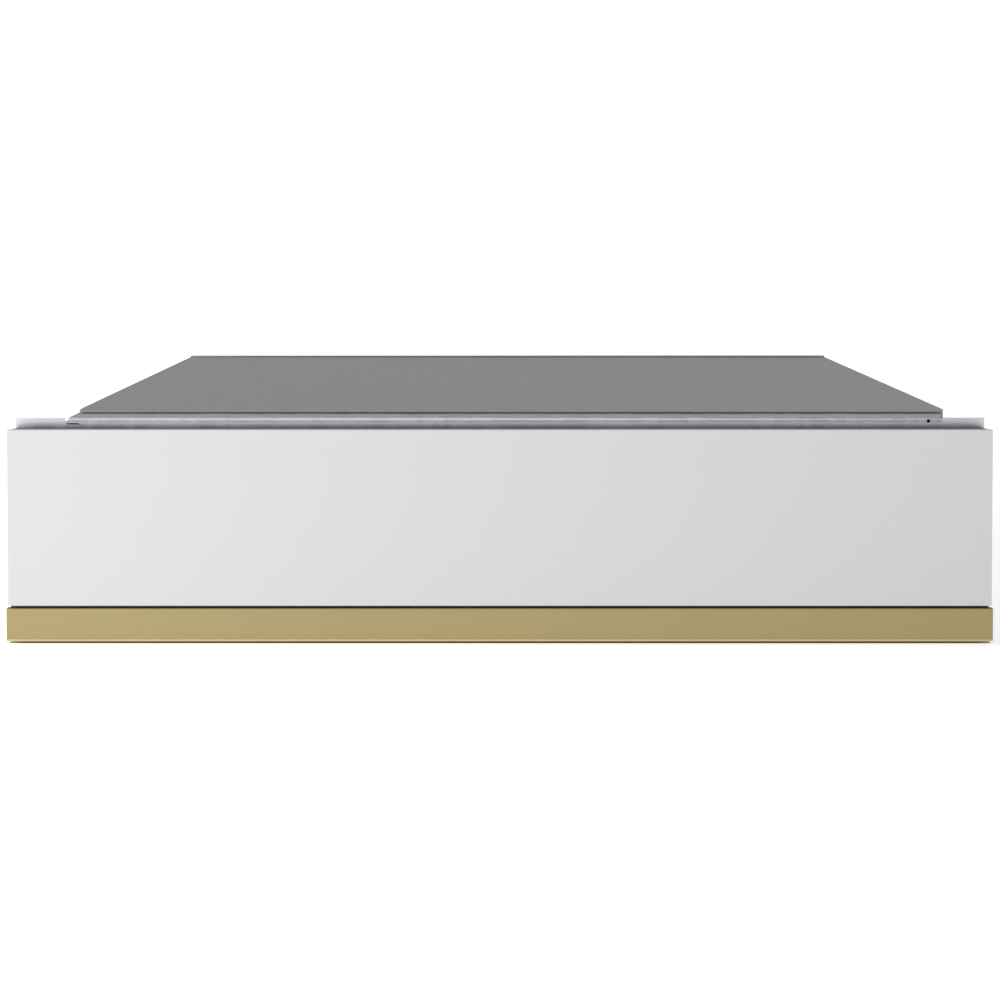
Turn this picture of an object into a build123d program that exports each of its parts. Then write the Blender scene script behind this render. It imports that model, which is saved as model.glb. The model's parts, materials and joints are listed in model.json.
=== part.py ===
from build123d import *
from math import sqrt
import os

# Built-in storage drawer for a 60 cm wide, 14 cm high niche, in millimetres.
# X runs to the right, the front faces -Y, Z is up, and the glides stand on Z = 0.
# The origin is the middle of the front's width and of the unit's depth.

os.makedirs("parts", exist_ok=True)

# Driving dimensions: the whole unit
overall_depth = 545.0
housing_width = 546.0
housing_middle = 7.3
cover_top = 136.8
sheet = 1.0
sheet_fit = 0.1
inner_bend = 1.0
ledge_bend = 2.0
cover_bend = 0.3
glide_height = 3.0
glide_diameter = 16.0
glide_inset = 31.2

# Driving dimensions: the front
glass_over_frame = 0.75
trim_over_glass = 0.75
door_lift = 2.0
door_drop = 6.8
glass_thickness = 4.0
glass_chamfer = 0.4
glass_overhang = 0.8
glue_thickness = 0.8
glue_width = 8.0
glue_inset = 3.0
carrier_depth = 11.7
carrier_rim = 14.0
trim_height = 20.0
trim_proud = 0.5
trim_bevel_height = 1.5
trim_bevel_depth = 0.6
trim_edge = 0.3
shadow_gap = 1.5
push_gap = 3.4
clip_count = 4
clip_pitch = 150.0
clip_stem_width = 18.0
clip_stem_height = 5.0
clip_head_over = 2.0
clip_head_depth = 1.6
clip_fit = 0.2

# Driving dimensions: the housing's front frame
ear_width = 23.0
ledge_gap = 0.5
opening_over_tray = 6.0
opening_under_tray = 2.5
ledge_depth = 41.0
ledge_width = 534.0
ledge_middle = 3.2
frame_return = 25.0
ledge_flare = 7.8
relief_width = 1.9
relief_depth = 2.2
tab_slot_width = 8.2
tab_slot_height = 0.8
tab_slot_inset = 2.8
tab_slot_drop = 3.7
pin_hole_radius = 1.1
pin_hole_inset = 8.2
pin_hole_drop = 2.0
cover_setback = 29.5
wall_top_flange = 6.0
notch_depth = 4.0
notch_past = 1.0
foot_flange = 16.0
foot_flange_inset = 2.0

# Driving dimensions: folded edges and pressed beads of the housing
cover_flange = 12.0
cover_fold = 3.5
cover_fold_setback = 15.5
bend_lap = 0.5
pan_flange = 12.0
rear_flange = 13.0
rear_upstand = 1.3
tab_count = 3
tab_pitch = 180.0
tab_width = 60.0
tab_depth = 14.0
bead_length = 330.0
bead_width = 16.0
bead_height = 2.0
bead_count = 4
bead_pitch = 120.0
bead_slope = 45.0

# Driving dimensions: the drawer tray
tray_sheet = 0.8
tray_headroom = 24.8
tray_lift = 12.0
tray_corner = 6.0
tray_rim = 5.0
mat_thickness = 1.5
mat_margin = 3.0

# Driving dimensions: the ball-bearing slides
rail_width = 12.7
rail_height = 45.0
rail_sheet = 1.5
rail_setback = 5.0
rail_end_gap = 1.6
middle_cut = 10.0
lip_setback = 1.7
member_gap = 0.3
ball_radius = 2.0
ball_fit = 0.05
race_bite = 0.7
outer_row = 5.8
inner_row = 9.0
balls_per_row = 3
ball_pitch = 46.0
cage_sheet = 0.5
cage_gap = 0.2
cage_strip = 0.6
cage_length = 140.0
cage_lead = 2.0
pocket_fit = 0.15
pocket_wall = 0.7

# Driving dimensions: hooks and screws
hook_width = 12.0
hook_drop = 5.0
hook_inset = 70.0
hook_fit = 0.4
screw_head = 7.0
screw_head_height = 2.0
screw_shank = 3.6
screw_fit = 0.2
screw_grip = 3.0
cover_screw_front = 74.0
cover_screw_rear = 92.5
outer_screw_front = 45.0
inner_screw_front = 40.0
inner_screw_rear = 60.0
front_screw_spread = 400.0
front_screw_low = 22.0
front_screw_high = 18.0
fixing_slot_width = 4.5
fixing_slot_length = 8.0
fixing_slot_edge = 8.0
fixing_slot_spread_z = 76.0
fixing_slot_centre = 70.0

# Driving dimensions: the push latch
latch_width = 20.0
latch_height = 16.0
latch_length = 52.0
latch_centre = 34.0
latch_room = 12.7
latch_chamfer = 2.0
latch_ear = 9.0
latch_ear_height = 3.0
latch_ear_length = 14.0
plunger_diameter = 11.0
plunger_length = 46.0
plunger_fit = 0.3
plunger_reach = 11.0
push_in = 3.0
spring_diameter = 7.0
spring_wire = 0.9
spring_fit = 0.4
spring_depth = 30.0
spring_seat = 1.0
magnet_diameter = 8.0
magnet_thickness = 2.5
strike_gap = 0.1
striker_thickness = 1.2
striker_width = 26.0
striker_height = 20.0
bracket_sheet = 1.2
bracket_foot = 20.0

# Depths, from the front to the rear
front_face = -overall_depth / 2
rear_face = overall_depth / 2
glass_front = front_face + trim_proud
glass_back = glass_front + glass_thickness
carrier_front = glass_back + glue_thickness
carrier_back = carrier_front + carrier_depth
frame_front = carrier_back + push_gap
frame_back = frame_front + sheet
cover_front = frame_front + cover_setback
fold_front = cover_front + cover_fold_setback
rear_inner = rear_face - sheet
walls_back = rear_inner - sheet_fit
latch_back = rear_inner - latch_room
latch_front = latch_back - latch_length
plunger_tip = latch_front - plunger_reach
tray_front = carrier_back
tray_back = plunger_tip - strike_gap - striker_thickness
tray_depth = tray_back - tray_front
rail_front = frame_front + rail_setback
rail_back = tray_back - rail_end_gap
rail_length = rail_back - rail_front

# Heights, from the glides upwards
pan_bottom = glide_height
pan_top = pan_bottom + sheet
door_bottom = door_lift
door_top = cover_top - door_drop
trim_top = door_bottom + trim_height
glass_bottom = trim_top + shadow_gap
tray_bottom = tray_lift
tray_floor = tray_bottom + tray_sheet
tray_top = cover_top - tray_headroom
tray_height = tray_top - tray_bottom
rail_centre = (tray_bottom + tray_top) / 2
frame_bottom = pan_top + sheet_fit
cover_under = cover_top - sheet
frame_top = cover_under - ledge_gap
notch_top = frame_top - notch_depth
opening_bottom = tray_bottom - opening_under_tray
opening_top = tray_top + opening_over_tray

# Half widths: those of the front and its frame from the front's middle, the others from the housing's
ear_half = housing_width / 2 + ear_width
glass_half = ear_half + glass_over_frame
trim_half = glass_half + trim_over_glass
carrier_half = glass_half - glass_overhang
ledge_left = ledge_middle - ledge_width / 2
half_housing = housing_width / 2
wall_outer = half_housing - sheet - sheet_fit
wall_inner = wall_outer - sheet
pan_half = wall_inner - sheet_fit
tray_half = wall_inner - rail_width


def front_section_at(y):
    """A plane across the front at depth y, on the front's middle; it extrudes towards the front."""
    return Plane.XZ.offset(-y)


def section_at(y):
    """A plane across the housing at depth y, on the housing's middle; it extrudes towards the front."""
    return Plane(origin=(housing_middle, y, 0), x_dir=(1, 0, 0), z_dir=(0, -1, 0))


def face_at(x):
    """A plane facing right, x from the housing's middle; its axes are the unit's Y and Z."""
    return Plane.YZ.offset(housing_middle + x)


def level_at(z):
    """A horizontal plane at height z, on the housing's middle."""
    return Plane(origin=(housing_middle, 0, z))


housing_mirror = face_at(0)

# Bottom pan: floor with turned-up sides and rear, stiffened by pressed beads
pan_depth = walls_back - frame_back
with BuildPart() as base_pan:
    with BuildSketch(section_at(walls_back)):
        with BuildLine():
            Polyline(
                (-pan_half, pan_bottom + pan_flange),
                (-pan_half, pan_bottom),
                (pan_half, pan_bottom),
                (pan_half, pan_bottom + pan_flange),
            )
            offset(amount=sheet, side=Side.LEFT)
        make_face()
    extrude(amount=pan_depth)
    with BuildSketch(section_at(walls_back)):
        with Locations((0, pan_bottom + pan_flange / 2)):
            Rectangle(2 * pan_half, pan_flange)
    extrude(amount=sheet)
    with BuildSketch(level_at(pan_top)):
        with GridLocations(bead_pitch, 0, bead_count, 1):
            Rectangle(bead_width, bead_length)
    extrude(amount=bead_height, taper=bead_slope)
    with BuildSketch(level_at(pan_bottom)):
        with GridLocations(bead_pitch, 0, bead_count, 1):
            Rectangle(bead_width, bead_length)
    extrude(amount=bead_height, taper=bead_slope, mode=Mode.SUBTRACT)
base_pan.part.label = "base_pan"
export_step(base_pan.part, "parts/base_pan.step")

# Glides under the pan's corners
with BuildPart() as base_glides:
    with BuildSketch(level_at(0)):
        with Locations((0, (frame_back + walls_back) / 2)):
            with GridLocations(2 * (pan_half - glide_inset), pan_depth - 2 * glide_inset, 2, 2):
                Circle(glide_diameter / 2)
    extrude(amount=glide_height)
base_glides.part.label = "base_glides"
export_step(base_glides.part, "parts/base_glides.step")

# Places of the screws that hold the cover and the slides
cover_screw_height = cover_top - cover_flange / 2
cover_screw_places = [
    (cover_front + cover_screw_front, cover_screw_height),
    (rear_face - cover_screw_rear, cover_screw_height),
]
rail_screw_place = (rail_front + outer_screw_front, rail_centre)
hook_places = [(rail_front + hook_inset, rail_centre), (rail_back - hook_inset, rail_centre)]
window_height = 2 * hook_drop

# Side walls: a web with a narrow folded top, notched below the front frame's ledge, with windows
# for the slide's hooks and screw holes
notch_back = frame_front + ledge_depth + notch_past
with BuildPart() as right_side_wall:
    with BuildSketch(section_at(walls_back)):
        with BuildLine():
            FilletPolyline(
                (wall_outer, pan_bottom),
                (wall_outer, cover_under),
                (wall_outer - wall_top_flange, cover_under),
                radius=inner_bend + sheet,
            )
            offset(amount=sheet, side=Side.LEFT)
        make_face()
    extrude(amount=walls_back - frame_back)
    with BuildSketch(face_at(wall_inner)):
        with Locations(hook_places):
            Rectangle(hook_width + 2 * hook_fit, window_height + 2 * hook_fit)
        with Locations(cover_screw_places + [rail_screw_place]):
            Circle(screw_shank / 2 + screw_fit)
    extrude(amount=sheet, mode=Mode.SUBTRACT)
    with BuildSketch(face_at(wall_outer)):
        with Locations(((frame_back + notch_back) / 2, (notch_top + cover_under) / 2)):
            Rectangle(notch_back - frame_back, cover_under - notch_top)
    extrude(amount=-wall_top_flange, mode=Mode.SUBTRACT)
right_side_wall.part.label = "right_side_wall"
export_step(right_side_wall.part, "parts/right_side_wall.step")

with BuildPart() as left_side_wall:
    mirror(right_side_wall.part, about=housing_mirror)
left_side_wall.part.label = "left_side_wall"
export_step(left_side_wall.part, "parts/left_side_wall.step")

# Rear wall: closes the back of the housing and stands a little above the cover. It has side folds
# inside the walls, and lanced tabs, bent forwards out of their windows, that carry the cover's rear edge
rear_fold_bottom = pan_bottom + pan_flange + sheet_fit
rear_fold_top = cover_under - sheet - inner_bend - sheet_fit
with BuildPart() as rear_wall:
    with BuildSketch(section_at(rear_face)):
        with Locations((0, (pan_bottom + cover_top + rear_upstand) / 2)):
            Rectangle(2 * wall_outer, cover_top + rear_upstand - pan_bottom)
        with Locations((0, cover_under - sheet - tab_depth / 2)):
            with GridLocations(tab_pitch, 0, tab_count, 1):
                Rectangle(tab_width, tab_depth, mode=Mode.SUBTRACT)
    extrude(amount=sheet)
    with BuildSketch(level_at(cover_under)):
        with Locations((0, rear_inner - tab_depth / 2)):
            with GridLocations(tab_pitch, 0, tab_count, 1):
                Rectangle(tab_width, tab_depth)
    extrude(amount=-sheet)
    with BuildSketch(section_at(rear_inner)):
        with Locations((pan_half - sheet / 2, (rear_fold_bottom + rear_fold_top) / 2)):
            Rectangle(sheet, rear_fold_top - rear_fold_bottom)
        mirror(about=Plane.YZ)
    extrude(amount=rear_flange)
rear_wall.part.label = "rear_wall"
export_step(rear_wall.part, "parts/rear_wall.step")

# Front frame: one pressed plate with ears for the cabinet's side panels and side returns. Its top bends
# back into the ledge, with a relief at the bend's left end, a punched slot and a pin hole
bend_zone = ledge_bend + sheet
return_top = frame_top - relief_depth
ledge_front = frame_front + bend_zone + bend_lap
ledge_right = ledge_left + ledge_width
with BuildPart() as front_frame:
    with BuildSketch(front_section_at(frame_back)):
        with Locations((0, (frame_bottom + frame_top) / 2)):
            Rectangle(2 * ear_half, frame_top - frame_bottom)
        with Locations((0, fixing_slot_centre)):
            with GridLocations(2 * (ear_half - fixing_slot_edge), fixing_slot_spread_z, 2, 2):
                SlotOverall(fixing_slot_length, fixing_slot_width, mode=Mode.SUBTRACT)
    extrude(amount=sheet)
    with BuildSketch(section_at(frame_back)):
        with Locations((0, (opening_bottom + opening_top) / 2)):
            Rectangle(2 * wall_inner, opening_top - opening_bottom)
    extrude(amount=sheet, mode=Mode.SUBTRACT)
    with BuildSketch(front_section_at(frame_back)):
        with Locations((ledge_middle, frame_top - bend_zone / 2)):
            Rectangle(ledge_width, bend_zone)
        with Locations((ledge_left - relief_width / 2, frame_top - relief_depth / 2)):
            Rectangle(relief_width, relief_depth)
    extrude(amount=sheet, mode=Mode.SUBTRACT)
    with BuildSketch(Plane.YZ.offset(ledge_left)):
        with BuildLine():
            FilletPolyline(
                (frame_front, opening_top),
                (frame_front, frame_top),
                (ledge_front, frame_top),
                radius=bend_zone,
            )
            offset(amount=sheet, side=Side.RIGHT)
        make_face()
    extrude(amount=ledge_width)
    with BuildSketch(front_section_at(frame_front + bend_zone)):
        with Locations((ledge_left + tab_slot_inset, frame_top - tab_slot_drop)):
            Rectangle(tab_slot_width, tab_slot_height)
        with Locations((ledge_right - pin_hole_inset, frame_top - pin_hole_drop)):
            Circle(pin_hole_radius)
    extrude(amount=bend_zone, mode=Mode.SUBTRACT)
    with BuildSketch(level_at(frame_bottom)):
        with Locations((wall_outer + sheet_fit + sheet / 2, frame_front + frame_return / 2)):
            Rectangle(sheet, frame_return)
        mirror(about=Plane.YZ)
    extrude(amount=return_top - frame_bottom)
front_frame.part.label = "front_frame"
export_step(front_frame.part, "parts/front_frame.step")

# Ledge: the flat of the front frame behind its top bend, which closes the gap under the cover's
# front edge; its right end flares out towards the wall
ledge_back = frame_front + ledge_depth
with BuildPart() as frame_ledge:
    with BuildSketch(Plane.XY.offset(frame_top)):
        with BuildLine():
            Polyline(
                (ledge_left, ledge_front),
                (ledge_right, ledge_front),
                (ledge_right + ledge_flare, ledge_back),
                (ledge_left, ledge_back),
                close=True,
            )
        make_face()
    extrude(amount=-sheet)
frame_ledge.part.label = "frame_ledge"
export_step(frame_ledge.part, "parts/frame_ledge.step")

# Foot: the flange at the front frame's lower edge, which lies on the pan
with BuildPart() as frame_foot:
    with BuildSketch(level_at(frame_bottom)):
        with Locations((0, (frame_back + frame_front + foot_flange) / 2)):
            Rectangle(2 * (pan_half - foot_flange_inset), foot_flange - sheet)
    extrude(amount=sheet)
frame_foot.part.label = "frame_foot"
export_step(frame_foot.part, "parts/frame_foot.step")

# Top cover: a flat plate, which lies on the walls and the tabs and reaches over the ledge
plate_half = half_housing - cover_fold
with BuildPart() as top_cover:
    with BuildSketch(level_at(cover_top)):
        with Locations((0, (cover_front + walls_back) / 2)):
            Rectangle(2 * plate_half, walls_back - cover_front)
    extrude(amount=-sheet)
top_cover.part.label = "top_cover"
export_step(top_cover.part, "parts/top_cover.step")

# Folds: the cover's sides bent down over the walls; they start behind the plate's front strip
with BuildPart() as cover_folds:
    with BuildSketch(section_at(walls_back)):
        with BuildLine():
            FilletPolyline(
                (plate_half, cover_top),
                (half_housing, cover_top),
                (half_housing, cover_top - cover_flange),
                radius=cover_bend + sheet,
            )
            offset(amount=sheet, side=Side.RIGHT)
        make_face()
    extrude(amount=walls_back - fold_front)
    with BuildSketch(face_at(half_housing)):
        with Locations(cover_screw_places):
            Circle(screw_shank / 2 + screw_fit)
    extrude(amount=-sheet, mode=Mode.SUBTRACT)
    mirror(about=housing_mirror)
cover_folds.part.label = "cover_folds"
export_step(cover_folds.part, "parts/cover_folds.step")

# Cover screws: hexagon heads outside, shanks through the cover's flange and the wall
with BuildPart() as cover_screws:
    with BuildSketch(face_at(half_housing)):
        with Locations(cover_screw_places):
            RegularPolygon(screw_head / 2, 6, major_radius=False)
    extrude(amount=screw_head_height)
    with BuildSketch(face_at(half_housing)):
        with Locations(cover_screw_places):
            RegularPolygon(screw_shank / 2, 6)
    extrude(amount=-2 * sheet - screw_grip)
    mirror(about=housing_mirror)
cover_screws.part.label = "cover_screws"
export_step(cover_screws.part, "parts/cover_screws.step")

# Slide sections, seen from the front at the right-hand wall: three nested channels with ball races
row_gap = 2 * (ball_radius + ball_fit - race_bite)
middle_height = rail_height - 2 * (rail_sheet + row_gap)
inner_height = middle_height - 2 * (rail_sheet + row_gap)
outer_row_height = rail_height / 2 - rail_sheet - row_gap / 2
inner_row_height = middle_height / 2 - rail_sheet - row_gap / 2
race_radius = ball_radius + ball_fit
outer_lip = wall_inner - rail_width + lip_setback
middle_web = wall_inner - rail_sheet - cage_sheet - 2 * cage_gap
middle_lip = tray_half + rail_sheet + member_gap
outer_cage_web = wall_inner - rail_sheet - cage_gap
inner_cage_web = middle_web - rail_sheet - cage_gap
inner_lip = inner_cage_web - cage_sheet - 2 * member_gap
outer_row_x = wall_inner - outer_row
inner_row_x = wall_inner - inner_row


def channel_section(web, lip, height):
    """Adds a channel on its back to the open sketch, from its web's outer face to its lips."""
    inwards = Side.LEFT if web > lip else Side.RIGHT
    with BuildLine() as outline:
        Polyline(
            (lip, rail_centre - height / 2),
            (web, rail_centre - height / 2),
            (web, rail_centre + height / 2),
            (lip, rail_centre + height / 2),
        )
        offset(amount=rail_sheet, side=inwards)
    make_face(outline.edges())


def race_grooves(x, row_height):
    """Cuts one pair of ball races, above and below the slide's middle line."""
    with Locations((x, rail_centre)):
        with GridLocations(0, 2 * row_height, 1, 2):
            Circle(race_radius, mode=Mode.SUBTRACT)


# Outer slide member: lies on the wall, held by two hooks and a screw
with BuildPart() as right_outer_rail:
    with BuildSketch(section_at(rail_back)):
        channel_section(wall_inner, outer_lip, rail_height)
        race_grooves(outer_row_x, outer_row_height)
    extrude(amount=rail_length)
    with BuildSketch(face_at(wall_inner)):
        with Locations([(y, z + hook_drop / 2) for y, z in hook_places]):
            Rectangle(hook_width, hook_drop)
    extrude(amount=sheet + sheet_fit + sheet)
    with BuildSketch(face_at(wall_outer + sheet_fit)):
        with Locations(hook_places):
            Rectangle(hook_width, 2 * hook_drop)
    extrude(amount=sheet)
    with BuildSketch(face_at(wall_inner - rail_sheet)):
        with Locations([(y, z - hook_drop) for y, z in hook_places]):
            Rectangle(hook_width + hook_drop / 2, 2 * hook_drop - hook_fit)
        with Locations(rail_screw_place):
            Circle(screw_shank / 2 + screw_fit)
    extrude(amount=rail_sheet, mode=Mode.SUBTRACT)
right_outer_rail.part.label = "right_outer_rail"
export_step(right_outer_rail.part, "parts/right_outer_rail.step")

with BuildPart() as left_outer_rail:
    mirror(right_outer_rail.part, about=housing_mirror)
left_outer_rail.part.label = "left_outer_rail"
export_step(left_outer_rail.part, "parts/left_outer_rail.step")

with BuildPart() as outer_rail_screws:
    with BuildSketch(face_at(wall_outer)):
        with Locations(rail_screw_place):
            RegularPolygon(screw_head / 2, 6, major_radius=False)
    extrude(amount=screw_head_height)
    with BuildSketch(face_at(wall_outer)):
        with Locations(rail_screw_place):
            RegularPolygon(screw_shank / 2, 6)
    extrude(amount=-sheet - rail_sheet + sheet_fit)
    mirror(about=housing_mirror)
outer_rail_screws.part.label = "outer_rail_screws"
export_step(outer_rail_screws.part, "parts/outer_rail_screws.step")

# Middle slide member: runs between the two rows of balls
middle_length = rail_length - middle_cut
middle_back = rail_back - middle_cut / 2
with BuildPart() as right_middle_rail:
    with BuildSketch(section_at(middle_back)):
        channel_section(middle_web, middle_lip, middle_height)
        race_grooves(outer_row_x, outer_row_height)
        race_grooves(inner_row_x, inner_row_height)
    extrude(amount=middle_length)
right_middle_rail.part.label = "right_middle_rail"
export_step(right_middle_rail.part, "parts/right_middle_rail.step")

with BuildPart() as left_middle_rail:
    mirror(right_middle_rail.part, about=housing_mirror)
left_middle_rail.part.label = "left_middle_rail"
export_step(left_middle_rail.part, "parts/left_middle_rail.step")

# Inner slide member: screwed to the tray's side, opening towards the wall
inner_screw_places = [
    (rail_front + inner_screw_front, rail_centre),
    (rail_back - inner_screw_rear, rail_centre),
]
with BuildPart() as right_inner_rail:
    with BuildSketch(section_at(rail_back)):
        channel_section(tray_half, inner_lip, inner_height)
        race_grooves(inner_row_x, inner_row_height)
    extrude(amount=rail_length)
    with BuildSketch(face_at(tray_half)):
        with Locations(inner_screw_places):
            Circle(screw_shank / 2 + screw_fit)
    extrude(amount=rail_sheet, mode=Mode.SUBTRACT)
right_inner_rail.part.label = "right_inner_rail"
export_step(right_inner_rail.part, "parts/right_inner_rail.step")

with BuildPart() as left_inner_rail:
    mirror(right_inner_rail.part, about=housing_mirror)
left_inner_rail.part.label = "left_inner_rail"
export_step(left_inner_rail.part, "parts/left_inner_rail.step")

with BuildPart() as inner_rail_screws:
    with BuildSketch(face_at(tray_half - tray_sheet)):
        with Locations(inner_screw_places):
            RegularPolygon(screw_head / 2, 6, major_radius=False)
    extrude(amount=-screw_head_height)
    with BuildSketch(face_at(tray_half - tray_sheet)):
        with Locations(inner_screw_places):
            RegularPolygon(screw_shank / 2, 6)
    extrude(amount=tray_sheet + rail_sheet + screw_grip)
    mirror(about=housing_mirror)
inner_rail_screws.part.label = "inner_rail_screws"
export_step(inner_rail_screws.part, "parts/inner_rail_screws.step")

# One bearing ball, faceted, from three crossed octagonal bars that stay inside its sphere
facet_reach = ball_radius / sqrt(1 + 2 * (sqrt(2) - 1) ** 2)
with BuildPart() as bearing_ball:
    with BuildSketch(Plane.XY):
        RegularPolygon(facet_reach, 8, major_radius=False, rotation=22.5)
    extrude(amount=facet_reach, both=True)
    with BuildSketch(Plane.XZ):
        RegularPolygon(facet_reach, 8, major_radius=False, rotation=22.5)
    extrude(amount=facet_reach, both=True, mode=Mode.INTERSECT)
    with BuildSketch(Plane.YZ):
        RegularPolygon(facet_reach, 8, major_radius=False, rotation=22.5)
    extrude(amount=facet_reach, both=True, mode=Mode.INTERSECT)

# Ball cages: thin channels with a pocket for each ball, in the gaps between the members.
# Each starts where it stays inside both of its members over the whole travel.
cage_middle = rail_front + rail_length / 2 + cage_lead


def ball_row(x, row_height):
    """The places of the balls in the upper and the lower row of one cage."""
    first = cage_middle - ball_pitch * (balls_per_row - 1) / 2
    depths = [first + ball_pitch * i for i in range(balls_per_row)]
    return [(housing_middle + x, y, rail_centre + side * row_height) for side in (-1, 1) for y in depths]


for gap_name, web, row_x, row_height in (
    ("outer", outer_cage_web, outer_row_x, outer_row_height),
    ("inner", inner_cage_web, inner_row_x, inner_row_height),
):
    pocket = 2 * (ball_radius + pocket_fit)
    strip_end = row_x - pocket / 2 - pocket_wall
    cage_height = 2 * row_height + cage_strip
    with BuildPart() as right_cage:
        with BuildSketch(section_at(cage_middle + cage_length / 2)):
            with Locations((0, rail_centre)):
                with Locations(((web + strip_end) / 2, 0)):
                    Rectangle(web - strip_end, cage_height)
                with Locations(((web - cage_sheet + strip_end) / 2, 0)):
                    Rectangle(web - cage_sheet - strip_end, cage_height - 2 * cage_strip, mode=Mode.SUBTRACT)
        extrude(amount=cage_length)
        with Locations(ball_row(row_x, row_height)):
            Box(pocket, pocket, 2 * cage_strip, mode=Mode.SUBTRACT)
    right_cage.part.label = f"right_{gap_name}_cage"
    export_step(right_cage.part, f"parts/right_{gap_name}_cage.step")
    with BuildPart() as left_cage:
        mirror(right_cage.part, about=housing_mirror)
    left_cage.part.label = f"left_{gap_name}_cage"
    export_step(left_cage.part, f"parts/left_{gap_name}_cage.step")
    with BuildPart() as right_balls:
        with Locations(ball_row(row_x, row_height)):
            add(bearing_ball.part)
    right_balls.part.label = f"right_{gap_name}_balls"
    export_step(right_balls.part, f"parts/right_{gap_name}_balls.step")
    with BuildPart() as left_balls:
        mirror(right_balls.part, about=housing_mirror)
    left_balls.part.label = f"left_{gap_name}_balls"
    export_step(left_balls.part, f"parts/left_{gap_name}_balls.step")

# Tray: an open steel box with rounded upright corners and a rim turned outwards
tray_middle = (tray_front + tray_back) / 2
front_screw_levels = (tray_bottom + front_screw_low, tray_top - front_screw_high)
front_screw_places = [(side * front_screw_spread / 2, z) for side in (-1, 1) for z in front_screw_levels]
with BuildPart() as tray:
    with BuildSketch(level_at(tray_bottom)):
        with Locations((0, tray_middle)):
            RectangleRounded(2 * tray_half, tray_depth, tray_corner)
    extrude(amount=tray_height)
    with BuildSketch(level_at(tray_top)):
        with Locations((0, tray_middle)):
            RectangleRounded(2 * (tray_half + tray_rim), tray_depth + 2 * tray_rim, tray_corner + tray_rim)
        with Locations((0, tray_front)):
            Rectangle(2 * (tray_half + tray_rim), 2 * (tray_corner + tray_rim), mode=Mode.SUBTRACT)
    extrude(amount=-tray_sheet)
    with BuildSketch(level_at(tray_floor)):
        with Locations((0, tray_middle)):
            RectangleRounded(
                2 * (tray_half - tray_sheet), tray_depth - 2 * tray_sheet, tray_corner - tray_sheet
            )
    extrude(amount=tray_height, mode=Mode.SUBTRACT)
    with BuildSketch(section_at(tray_front + tray_sheet)):
        with Locations(front_screw_places):
            Circle(screw_shank / 2 + screw_fit)
    extrude(amount=tray_sheet, mode=Mode.SUBTRACT)
    with BuildSketch(face_at(-tray_half)):
        with Locations(inner_screw_places):
            Circle(screw_shank / 2 + screw_fit)
    extrude(amount=2 * tray_half, mode=Mode.SUBTRACT)
tray.part.label = "tray"
export_step(tray.part, "parts/tray.step")

# Anti-slip mat on the tray's floor
with BuildPart() as anti_slip_mat:
    with BuildSketch(level_at(tray_floor)):
        with Locations((0, tray_middle)):
            RectangleRounded(
                2 * (tray_half - tray_sheet - mat_margin),
                tray_depth - 2 * (tray_sheet + mat_margin),
                tray_corner - tray_sheet,
            )
    extrude(amount=mat_thickness)
anti_slip_mat.part.label = "anti_slip_mat"
export_step(anti_slip_mat.part, "parts/anti_slip_mat.step")

# Front carrier: a flat steel plate, screwed to the tray
carrier_top = door_top - glass_overhang
carrier_bottom = door_bottom + glass_overhang
carrier_height = carrier_top - carrier_bottom
carrier_middle = (carrier_top + carrier_bottom) / 2
with BuildPart() as front_carrier:
    with BuildSketch(front_section_at(carrier_back)):
        with Locations((0, carrier_middle)):
            Rectangle(2 * carrier_half, carrier_height)
    extrude(amount=sheet)
    with BuildSketch(section_at(carrier_back)):
        with Locations(front_screw_places):
            Circle(screw_shank / 2 + screw_fit)
    extrude(amount=sheet, mode=Mode.SUBTRACT)
front_carrier.part.label = "front_carrier"
export_step(front_carrier.part, "parts/front_carrier.step")

# Carrier edge: the plate's four sides folded forwards, with open corner seams
with BuildPart() as carrier_edge:
    with BuildSketch(front_section_at(carrier_back - sheet)):
        with Locations((0, carrier_middle)):
            with GridLocations(0, carrier_height - sheet, 1, 2):
                Rectangle(2 * carrier_half, sheet)
            with GridLocations(2 * carrier_half - sheet, 0, 2, 1):
                Rectangle(sheet, carrier_height - 2 * (sheet + sheet_fit))
    extrude(amount=carrier_depth - 2 * sheet)
carrier_edge.part.label = "carrier_edge"
export_step(carrier_edge.part, "parts/carrier_edge.step")

# Carrier rim: the sides' inward lips, which the glass is glued to; the lower one has the clips' holes
window_bottom = glass_bottom + carrier_rim
window_top = carrier_top - carrier_rim
trim_middle = (door_bottom + trim_top) / 2
with BuildPart() as rim_frame:
    with BuildSketch(front_section_at(carrier_front + sheet)):
        with Locations((0, (window_top + carrier_top) / 2)):
            Rectangle(2 * carrier_half, carrier_rim)
        with Locations((0, (carrier_bottom + window_bottom) / 2)):
            Rectangle(2 * carrier_half, window_bottom - carrier_bottom)
        with Locations((0, (window_bottom + window_top) / 2)):
            with GridLocations(2 * carrier_half - carrier_rim, 0, 2, 1):
                Rectangle(carrier_rim, window_top - window_bottom - 2 * sheet_fit)
        with Locations((0, trim_middle)):
            with GridLocations(clip_pitch, 0, clip_count, 1):
                Rectangle(
                    clip_stem_width + 2 * clip_fit, clip_stem_height + 2 * clip_fit, mode=Mode.SUBTRACT
                )
    extrude(amount=sheet)
rim_frame.part.label = "carrier_rim"
export_step(rim_frame.part, "parts/carrier_rim.step")

with BuildPart() as front_screws:
    with BuildSketch(section_at(tray_front + tray_sheet)):
        with Locations(front_screw_places):
            RegularPolygon(screw_head / 2, 6, major_radius=False)
    extrude(amount=-screw_head_height)
    with BuildSketch(section_at(tray_front + tray_sheet)):
        with Locations(front_screw_places):
            RegularPolygon(screw_shank / 2, 6)
    extrude(amount=tray_sheet + sheet + screw_grip)
front_screws.part.label = "front_screws"
export_step(front_screws.part, "parts/front_screws.step")

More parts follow.
